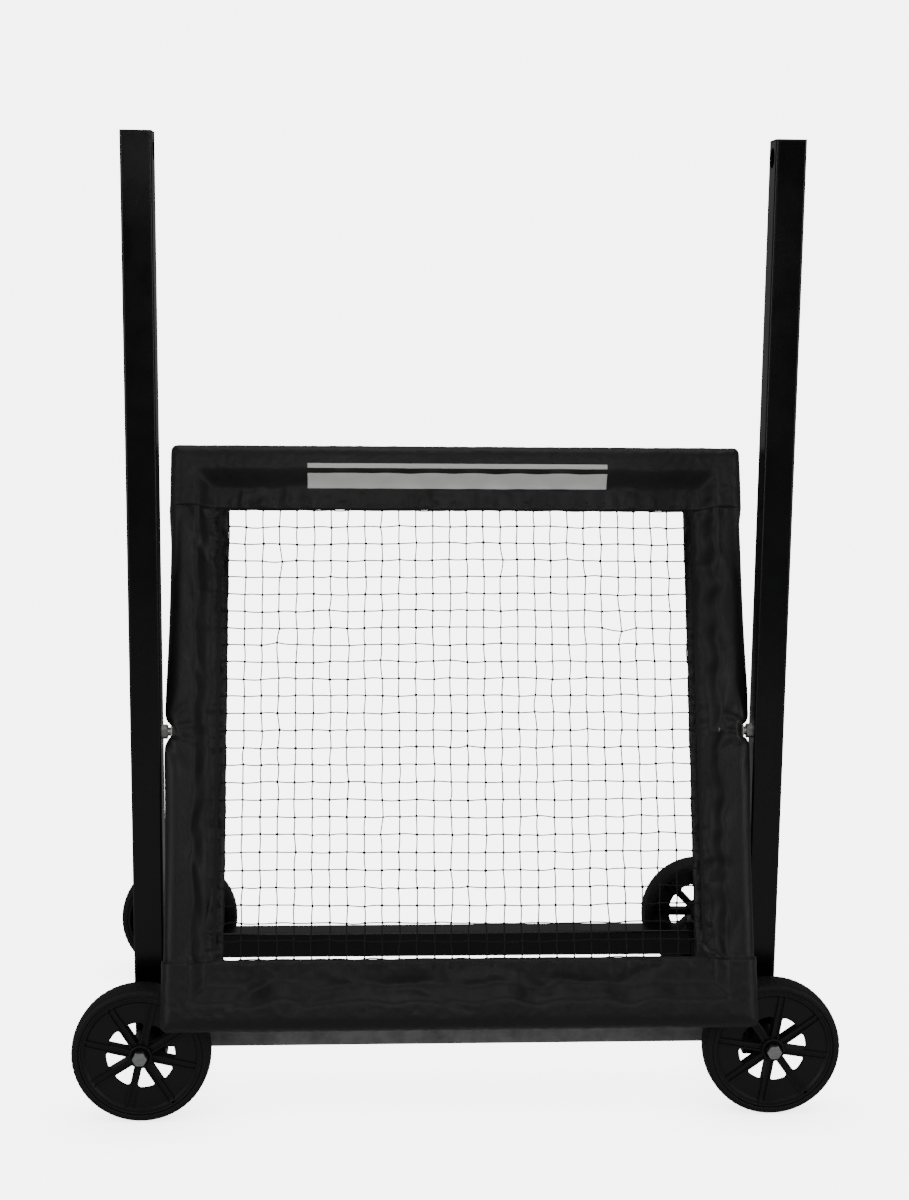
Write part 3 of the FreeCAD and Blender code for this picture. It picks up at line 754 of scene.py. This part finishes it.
def on_sleeve(kind, x, v, lift, front=True):
    """The point of a sleeve at (x, v), lifted off its front or back by a small amount."""
    way = 1 if front else -1
    start = on_frame(x, v, way * 80 * MM)
    place, _, _, _ = SURFACES[kind].ray_cast(start, OUT_FRONT * -way)
    if place is None:
        place = on_frame(x, v, way * float(pad_half_thickness(x, v)))
    return place + OUT_FRONT * (way * lift)


# %% Stitches along the hems
STITCH = 4.2 * MM
STITCH_GAP = 1.6 * MM
STITCH_R = 0.42 * MM
HEM_INSET = 7 * MM


def stitch_shape(start, end, outward):
    """One stitch: a short six-sided thread that dips into the cloth at both ends."""
    along = (end - start).normalized()
    beside = along.cross(outward).normalized()
    verts = []
    for share, rise, size in ((0, -0.3, 0.5), (0.18, 0.6, 1), (0.82, 0.6, 1), (1, -0.3, 0.5)):
        centre = start.lerp(end, share) + outward * (rise * STITCH_R)
        for corner in range(6):
            angle = math.pi / 3 * corner
            verts.append(centre + (beside * math.cos(angle) + outward * math.sin(angle))
                         * (STITCH_R * size))
    faces = grid_faces(4, 6, wrap_columns=True)
    faces += [tuple(range(6)), tuple(range(23, 17, -1))]
    return verts, faces


def sew(name, runs):
    """Rows of stitches. A run is (kind, start, end, front) in the frame's own plane."""
    verts, faces = [], []
    for kind, start, end, front in runs:
        length = math.dist(start, end)
        outward = OUT_FRONT if front else -OUT_FRONT
        count = int(length // (STITCH + STITCH_GAP))
        for i in range(count):
            ends = []
            for along in (i / count, (i + STITCH / (STITCH + STITCH_GAP)) / count):
                x = start[0] + (end[0] - start[0]) * along
                v = start[1] + (end[1] - start[1]) * along
                ends.append(on_sleeve(kind, x, v, 0, front))
            join(verts, faces, *stitch_shape(ends[0], ends[1], outward))
    return make_piece(name, verts, faces, THREAD, "net_frame")


hem_x = OPENING_X + HEM_INSET
hem_top = OPENING_TOP + HEM_INSET
hem_bottom = OPENING_BOTTOM - HEM_INSET
side_low, side_high = OPENING_BOTTOM + 4 * MM, OPENING_TOP - 4 * MM
for front, face in ((True, "front"), (False, "back")):
    sew("hem_stitches_" + face, [
        ("top", (-OPENING_X, hem_top), (OPENING_X, hem_top), front),
        ("bottom", (-OPENING_X, hem_bottom), (OPENING_X, hem_bottom), front),
        ("left", (-hem_x, side_low), (-hem_x, side_high), front),
        ("right", (hem_x, side_low), (hem_x, side_high), front),
    ])
print("stitches of", STITCH * 1000, "mm sewn")


# %% [markdown]
# ## Patches that lie on the vinyl
#
# The closing tape at the back and the stripes on the front are thin sheets that follow the
# sleeve below them. The stripes are a plain pair, printed in white.


# %% Patch builder
def lay_patch(name, kind, x_range, v_range, thickness, material, front, step=8 * MM, lift=0.2 * MM):
    """A thin closed patch over a rectangle of a sleeve."""
    columns = max(2, round((x_range[1] - x_range[0]) / step) + 1)
    rows = max(2, round((v_range[1] - v_range[0]) / step) + 1)
    verts = []
    for height in (lift, lift + thickness):
        for v in np.linspace(*v_range, rows):
            for x in np.linspace(*x_range, columns):
                verts.append(on_sleeve(kind, float(x), float(v), height, front))
    lower = grid_faces(rows, columns)
    size = rows * columns
    faces = lower + [tuple(i + size for i in reversed(f)) for f in lower]
    rim = ([c for c in range(columns)] + [r * columns + columns - 1 for r in range(1, rows)]
           + [(rows - 1) * columns + c for c in range(columns - 2, -1, -1)]
           + [r * columns for r in range(rows - 2, 0, -1)])
    for a, b in zip(rim, rim[1:] + rim[:1]):
        faces.append((a, b, b + size, a + size))
    return make_piece(name, verts, faces, material, "net_frame")


# %% Closing tapes and stripes
TAPE = 25 * MM
TAPE_THICKNESS = 1.2 * MM
TAPE_INSET = 20 * MM
tape_runs = {
    "top": ((-400 * MM, 400 * MM), (HALF_LENGTH - TAPE_INSET - TAPE, HALF_LENGTH - TAPE_INSET)),
    "bottom": ((-400 * MM, 400 * MM), (-HALF_LENGTH + TAPE_INSET, -HALF_LENGTH + TAPE_INSET + TAPE)),
    "left": ((-HALF_WIDTH + TAPE_INSET, -HALF_WIDTH + TAPE_INSET + TAPE), (-300 * MM, 300 * MM)),
    "right": ((HALF_WIDTH - TAPE_INSET - TAPE, HALF_WIDTH - TAPE_INSET), (-300 * MM, 300 * MM)),
}
for kind, (x_range, v_range) in tape_runs.items():
    lay_patch("closing_tape_" + kind, kind, x_range, v_range, TAPE_THICKNESS, HOOK_TAPE, False)

STRIPE_HALF_LENGTH = 225 * MM
for name, low, high in (("wide", 365 * MM, 385 * MM), ("narrow", 392 * MM, 399 * MM)):
    lay_patch("printed_stripe_" + name, "top", (-STRIPE_HALF_LENGTH, STRIPE_HALF_LENGTH),
              (low, high), 0.15 * MM, PRINT, True, step=4 * MM, lift=0.5 * MM)
print("tapes and stripes laid")

# %% [markdown]
# ## The net
#
# Twine is knotted into squares of one inch. Knots never pull up quite evenly, so each one sits a
# little off its place and the twine between two knots bows slightly. Each line of twine is a thin
# tube through its knots, and each knot is a small lump.

# %% Knot places
SQUARES_ACROSS = 27
SQUARES_UP = 26
TWINE_R = 1.0 * MM
KNOT_R = 2.2 * MM
TUCK = 7 * MM                # how far the net runs in under the flaps
rng = np.random.default_rng(7)
lines_x = np.linspace(-OPENING_X, OPENING_X, SQUARES_ACROSS + 1)
lines_v = np.linspace(OPENING_BOTTOM, OPENING_TOP, SQUARES_UP + 1)
knots = np.zeros((len(lines_v), len(lines_x), 3))
knots[..., 0], knots[..., 1] = np.meshgrid(lines_x, lines_v)
wander = rng.normal(0, 0.75 * MM, knots.shape)
wander[..., 2] *= 0.8
wander[..., 1] += 1.3 * MM * np.sin(lines_x / 0.11 + 1.0)[None, :] * np.sin(lines_v / 0.19)[:, None]
for _ in range(14):
    r, c = rng.integers(3, SQUARES_UP - 2), rng.integers(3, SQUARES_ACROSS - 2)
    wander[r, c, :2] += rng.normal(0, 2.6 * MM, 2)
wander[[0, -1]] *= 0.3
wander[:, [0, -1]] *= 0.3
knots += wander
print(knots.shape[0] * knots.shape[1], "knots")


# %% Twine and knots
def tube_rings(points, radius, sides=5):
    """Rings of points round a line, and the faces between them."""
    verts = []
    for i, p in enumerate(points):
        ahead = points[min(i + 1, len(points) - 1)] - points[max(i - 1, 0)]
        ahead = ahead.normalized()
        beside = ahead.cross(OUT_FRONT).normalized()
        above = beside.cross(ahead)
        for k in range(sides):
            angle = 2 * math.pi * k / sides
            verts.append(p + (beside * math.cos(angle) + above * math.sin(angle)) * radius)
    faces = grid_faces(len(points), sides, wrap_columns=True)
    faces += [tuple(range(sides - 1, -1, -1)),
              tuple(range(len(verts) - sides, len(verts)))]
    return verts, faces


def line_points(row, tuck):
    """A line of twine through its knots, with a bow between each pair and a tucked end."""
    points = [row[0] - tuck]
    for a, b in zip(row, row[1:]):
        bow = rng.normal(0, 0.45 * MM, 3)
        points += [a, a * 0.67 + b * 0.33 + bow, a * 0.33 + b * 0.67 + bow]
    points += [row[-1], row[-1] + tuck]
    return [on_frame(*(float(q) for q in p)) for p in points]


verts, faces = [], []
net_lines = [line_points(knots[:, c], np.array((0, TUCK, 0))) for c in range(knots.shape[1])]
net_lines += [line_points(knots[r], np.array((TUCK, 0, 0))) for r in range(knots.shape[0])]
for points in net_lines:
    join(verts, faces, *tube_rings(points, TWINE_R))
KNOT_RINGS, KNOT_SIDES = 5, 7
for place in knots.reshape(-1, 3):
    stretch = rng.uniform(0.85, 1.2, 3)
    first = len(verts)
    for ring in range(KNOT_RINGS):
        polar = math.pi * (ring + 0.5) / KNOT_RINGS
        for k in range(KNOT_SIDES):
            angle = 2 * math.pi * k / KNOT_SIDES
            lump = np.array((math.sin(polar) * math.cos(angle), math.sin(polar) * math.sin(angle),
                             0.8 * math.cos(polar))) * stretch * KNOT_R
            verts.append(on_frame(*(float(q) for q in place + lump)))
    faces += [tuple(i + first for i in f) for f in grid_faces(KNOT_RINGS, KNOT_SIDES, True)]
    faces += [tuple(range(first, first + KNOT_SIDES)),
              tuple(range(len(verts) - 1, len(verts) - 1 - KNOT_SIDES, -1))]
net = make_piece("knotted_net", verts, faces, TWINE, "net_frame", 80)
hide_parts("net")
print("net has", len(net.data.polygons), "faces")

# %% [markdown]
# ## The wheels
#
# Each wheel is moulded in one shot round its hub: a barrel, a dished web with eight windows, and
# eight spokes that are each a pair of thin ribs. The tyre is a solid ring with a shallow tread.
# One rim and one tyre are built flat on their axis and then turned and placed for each corner.

# %% Sizes of a wheel
WHEEL_R = 101.6 * MM
WHEEL_WIDTH = 44.5 * MM
RIM_OUTER_R = 90 * MM
BARREL_R = 86 * MM
WEB_FACE = 6.1 * MM
WEB_THICKNESS = 4 * MM
HUB_R = 17 * MM
HUB_BORE_R = 9.5 * MM
HUB_LENGTH = 64 * MM
SPOKES = 8
SPOKE_WIDTH = 11 * MM
RIB = 2.4 * MM
TREAD_LUGS = 60


# %% Turned profiles
def lathe(profile, steps):
    """Spins a closed outline of (radius, depth) points about the Y axis."""
    verts = []
    for i in range(steps):
        angle = 2 * math.pi * i / steps
        for radius, depth in profile:
            verts.append(Vector((radius * math.cos(angle), depth, radius * math.sin(angle))))
    return verts, grid_faces(steps, len(profile), wrap_columns=True, wrap_rows=True)


def arc(centre, radius, start_deg, end_deg, steps):
    """Points of an arc in the (radius, depth) plane."""
    angles = [math.radians(start_deg + (end_deg - start_deg) * i / steps) for i in range(steps + 1)]
    return [(centre[0] + radius * math.cos(a), centre[1] + radius * math.sin(a)) for a in angles]


def tyre_mesh():
    """The tyre's outer face is at depth 0, and its tread is cut into lugs."""
    shoulder = 6.5 * MM
    bead = 1.6 * MM
    crown = 1.3 * MM
    outer = WHEEL_R - crown
    inner = RIM_OUTER_R - 0.1 * MM
    profile = arc((inner + bead, bead), bead, 180, 270, 3)
    profile += arc((outer - shoulder, shoulder), shoulder, 270, 350, 6)
    for share in (0.1, 0.2, 0.35, 0.5, 0.65, 0.8, 0.9):
        depth = shoulder + (WHEEL_WIDTH - 2 * shoulder) * share
        profile.append((outer + crown * math.sin(math.pi * share), depth))
    profile += arc((outer - shoulder, WHEEL_WIDTH - shoulder), shoulder, 10, 90, 6)
    profile += arc((inner + bead, WHEEL_WIDTH - bead), bead, 90, 180, 3)
    steps = TREAD_LUGS * 4
    verts, faces = lathe(profile, steps)
    groove = 1.1 * MM
    for index, vert in enumerate(verts):
        step, point = divmod(index, len(profile))
        depth = vert.y
        in_tread = shoulder * 0.55 < depth < WHEEL_WIDTH - shoulder * 0.55
        second_row = depth > WHEEL_WIDTH / 2
        on_groove = (step + (2 if second_row else 0)) % 4 == 0
        if in_tread and on_groove and profile[point][0] > outer - shoulder:
            scale = 1 - groove / math.hypot(vert.x, vert.z)
            vert.x *= scale
            vert.z *= scale
    return verts, faces


# %% [markdown]
# ## Windows, spokes and hub
#
# The web is cut and the ribs are joined on with exact booleans, which is how a mould maker would
# think of it. A small bevel then rounds each moulded edge, so that it catches the light.

# %% Boolean helper and solids
def solid(name, verts, faces):
    """A closed tool for a boolean, with any doubled points merged."""
    return raw_object(name, verts, faces, merge=0.005 * MM)


def combine(target, tool, operation):
    """An exact boolean that is applied at once. The tool is used up."""
    modifier = target.modifiers.new("Combine", "BOOLEAN")
    modifier.operation = operation
    modifier.solver = "EXACT"
    modifier.use_self = True
    modifier.object = tool
    apply_modifier(target, modifier)
    bpy.data.objects.remove(tool)


def prism(outline, low, high):
    """An outline in the wheel's plane, run from one depth to another."""
    count = len(outline)
    verts = [Vector((x, depth, z)) for depth in (low, high) for x, z in outline]
    faces = [tuple(range(count)), tuple(range(2 * count - 1, count - 1, -1))]
    faces += [(i, i + count, (i + 1) % count + count, (i + 1) % count) for i in range(count)]
    return verts, faces


def repeated(verts, faces, count):
    """Copies of a solid, evenly round the Y axis."""
    all_verts, all_faces = [], []
    for i in range(count):
        turn = Matrix.Rotation(-2 * math.pi * i / count, 3, "Y")
        join(all_verts, all_faces, [turn @ Vector(v) for v in verts], faces)
    return all_verts, all_faces


# %% Window outline
def window_outline():
    """A pie-shaped window between two spokes, with rounded corners at its wide end."""
    inner, outer = 20 * MM, 50 * MM
    corner = 4.5 * MM
    half_angle = math.pi / SPOKES
    offset = SPOKE_WIDTH / 2
    side = []
    near = math.asin(offset / inner)
    far = math.asin(offset / (outer - corner * 0.35))
    for radius, angle in ((inner, near), (outer - corner, math.asin(offset / (outer - corner))),
                          (outer - corner * 0.35, far + 0.035)):
        side.append((radius, angle))
    arc_from = side[-1][1] + 0.06
    rim_arc = [(outer, arc_from + (2 * half_angle - 2 * arc_from) * i / 8) for i in range(9)]
    back = [(radius, 2 * half_angle - angle) for radius, angle in reversed(side)]
    return [(r * math.cos(a), r * math.sin(a)) for r, a in side + rim_arc + back]


# %% Rim
def rim_object():
    """The rim's outer face is at depth 1.5 mm, its web is set back, and its hub runs deep."""
    lip = 1.4 * MM
    low, high = 1.5 * MM, WHEEL_WIDTH - 1.5 * MM
    barrel = arc((BARREL_R + lip, low + lip), lip, 180, 270, 3)
    barrel += arc((RIM_OUTER_R - lip, low + lip), lip, 270, 360, 3)
    barrel += [(RIM_OUTER_R, high), (BARREL_R, high)]
    step = 3.0 * MM
    web = [(HUB_R - 2 * MM, WEB_FACE), (BARREL_R - 6 * MM, WEB_FACE), (BARREL_R - 3 * MM, WEB_FACE - step),
           (BARREL_R + 1 * MM, WEB_FACE - step), (BARREL_R + 1 * MM, WEB_FACE + WEB_THICKNESS),
           (HUB_R - 2 * MM, WEB_FACE + WEB_THICKNESS)]
    rim = solid("rim_base", *lathe(web, 128))
    window_verts, window_faces = prism(window_outline(), WEB_FACE - 5 * MM, WEB_FACE + 12 * MM)
    combine(rim, solid("windows", *repeated(window_verts, window_faces, SPOKES)), "DIFFERENCE")
    combine(rim, solid("barrel", *lathe(barrel, 128)), "UNION")
    ribs_v, ribs_f = [], []
    for side in (-1, 1):
        middle = side * (SPOKE_WIDTH - RIB) / 2
        outline = [(HUB_R - 3 * MM, middle - RIB / 2), (BARREL_R + 1 * MM, middle - RIB / 2),
                   (BARREL_R + 1 * MM, middle + RIB / 2), (HUB_R - 3 * MM, middle + RIB / 2)]
        join(ribs_v, ribs_f, *prism(outline, WEB_FACE - 2.6 * MM, WEB_FACE + 16 * MM))
    combine(rim, solid("ribs", *repeated(ribs_v, ribs_f, SPOKES)), "UNION")
    hub_lip = 1.2 * MM
    hub = arc((HUB_R - hub_lip, hub_lip), hub_lip, 270, 360, 3)
    hub += [(HUB_R, HUB_LENGTH), (HUB_BORE_R, HUB_LENGTH), (HUB_BORE_R, 0)]
    combine(rim, solid("hub", *lathe(hub, 64)), "UNION")
    bore = [(0, -1 * MM), (HUB_BORE_R, -1 * MM), (HUB_BORE_R, 70 * MM), (0, 70 * MM)]
    combine(rim, solid("bore", *lathe(bore, 64)), "DIFFERENCE")
    bevel = rim.modifiers.new("Bevel", "BEVEL")
    bevel.width = 0.5 * MM
    bevel.segments = 2
    bevel.limit_method = "ANGLE"
    bevel.angle_limit = math.radians(35)
    apply_modifier(rim, bevel)
    tidy_mesh(rim.data, 32)
    print("rim has", len(rim.data.polygons), "faces")
    return rim


# %% Place the wheels
SPOKE_PHASE = {"front_left": 32.0, "front_right": 36.0, "rear_left": 10.0, "rear_right": -1.0}
rim_master = rim_object()
tyre_verts, tyre_faces = tyre_mesh()
for corner, phase in SPOKE_PHASE.items():
    low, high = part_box(corner + "_tyre")
    middle = (Vector(low) + Vector(high)) / 2
    is_front = corner.startswith("front")
    outer_y = low[1] if is_front else high[1]
    turn = Matrix.Rotation(0 if is_front else math.pi, 4, "Z")
    spin = Matrix.Rotation(math.radians(-phase if is_front else phase - 180), 4, "Y")
    place = Matrix.Translation((middle.x, outer_y, middle.z)) @ turn
    tyre = make_piece(corner + "_rubber_tyre", [place @ v for v in tyre_verts], tyre_faces,
                      TYRE_RUBBER, corner + "_wheel", 50)
    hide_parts(corner + "_tyre")
    rim = bpy.data.objects.new(corner + "_moulded_rim", rim_master.data.copy())
    rim.data.transform(place @ spin)
    bpy.context.collection.objects.link(rim)
    wear(rim, WHEEL_PLASTIC)
    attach(rim, corner + "_wheel")
    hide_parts(corner + "_rim")
bpy.data.objects.remove(rim_master)
print("four wheels placed")

# %% [markdown]
# ## The studio
#
# Black pieces on white are drawn by what they mirror, so the room matters more than the lamps.
# The paper floor and the far wall look bright to the camera, but they throw only a little light
# on the pieces, as a wall far behind would. In front the room is dark. Two tall softboxes stand
# left and right, one hangs overhead, and one stands above the camera, which the leaning sleeves
# mirror and the upright tubes don't. A painted contact shadow darkens the paper a little where
# a wheel stands on it.

# %% Paper floor
FLOOR_R = 14.0
WHITE_SEEN = 6.0             # how bright the paper and the wall look
PAPER_LIGHT = 0.06           # how much light the paper throws on the pieces


def white_paper():
    """Matt paper that is lit from behind."""
    material, tree, place = new_material("matt_white_paper")
    fibre = add_node(tree, "ShaderNodeTexNoise", {"Vector": place, "Scale": 6.0, "Detail": 4.0})
    base = add_node(tree, "ShaderNodeValToRGB", {"Fac": fibre.outputs["Fac"]})
    set_ramp(base, (0.0, "#b4b4b3"), (1.0, "#bcbcbb"))
    path = add_node(tree, "ShaderNodeLightPath")
    glow = add_node(tree, "ShaderNodeMapRange", {"Value": path.outputs["Is Camera Ray"],
                                                 "To Min": PAPER_LIGHT, "To Max": WHITE_SEEN})
    # painted contact shadow: ambient occlusion dims the paper's glow close to the wheels
    near = add_node(tree, "ShaderNodeAmbientOcclusion", {"Distance": 0.12}, samples=8)
    shade = add_node(tree, "ShaderNodeMapRange", {"Value": near.outputs["AO"], "To Min": 0.5})
    shaded = add_node(tree, "ShaderNodeMath", {0: glow.outputs["Result"],
                                               1: shade.outputs["Result"]}, operation="MULTIPLY")
    finish_material(tree, Base_Color=base.outputs["Color"], Roughness=0.9,
                    Emission_Color=colour("#ffffff"), Emission_Strength=shaded.outputs[0])
    return material


floor_mesh = bpy.data.meshes.new("paper_floor")
floor_mesh.from_pydata([(FLOOR_R * math.cos(math.pi * i / 24), FLOOR_R * math.sin(math.pi * i / 24), 0)
                        for i in range(48)], [], [tuple(range(48))])
floor = bpy.data.objects.new("paper_floor", floor_mesh)
bpy.context.collection.objects.link(floor)
wear(floor, white_paper())


# %% Softboxes
def soft_light(name, place, target, size, watts):
    data = bpy.data.lights.new(name, "AREA")
    data.shape = "RECTANGLE"
    data.size, data.size_y = size
    data.energy = watts
    light = bpy.data.objects.new(name, data)
    light.location = place
    light.rotation_euler = (Vector(target) - Vector(place)).to_track_quat("-Z", "Y").to_euler()
    bpy.context.collection.objects.link(light)
    return light


soft_light("left_softbox", (-2.7, -2.1, 1.3), (0, 0, 0.7), (0.9, 2.0), 17)
soft_light("right_softbox", (2.7, -2.1, 1.3), (0, 0, 0.7), (0.9, 2.0), 17)
soft_light("overhead_softbox", (0, 0.2, 3.8), (0, 0.1, 0), (2.4, 2.4), 20)
soft_light("front_softbox", (0, -3.4, 2.5), (0, 0, 0.9), (1.3, 1.4), 18)


# %% Room
def room():
    """A white wall behind, which is dimmer for the pieces than for the camera, and a dark front."""
    world = bpy.data.worlds.new("studio_room")
    world.use_nodes = True
    tree = world.node_tree
    tree.nodes.clear()
    way = add_node(tree, "ShaderNodeTexCoord").outputs["Generated"]
    split = add_node(tree, "ShaderNodeSeparateXYZ", {"Vector": way})
    wall = add_node(tree, "ShaderNodeMapRange", {"Value": split.outputs["Y"], "From Min": -0.3,
                                                 "From Max": 0.9, "To Min": 0.05, "To Max": 0.17})
    path = add_node(tree, "ShaderNodeLightPath")
    bright = add_node(tree, "ShaderNodeMix", {0: path.outputs["Is Camera Ray"],
                                              2: wall.outputs["Result"], 3: WHITE_SEEN})
    light = add_node(tree, "ShaderNodeBackground", {"Color": colour("#ffffff"),
                                                    "Strength": bright.outputs[0]})
    add_node(tree, "ShaderNodeOutputWorld", {"Surface": light.outputs[0]})
    return world


bpy.context.scene.world = room()
print("studio lit")
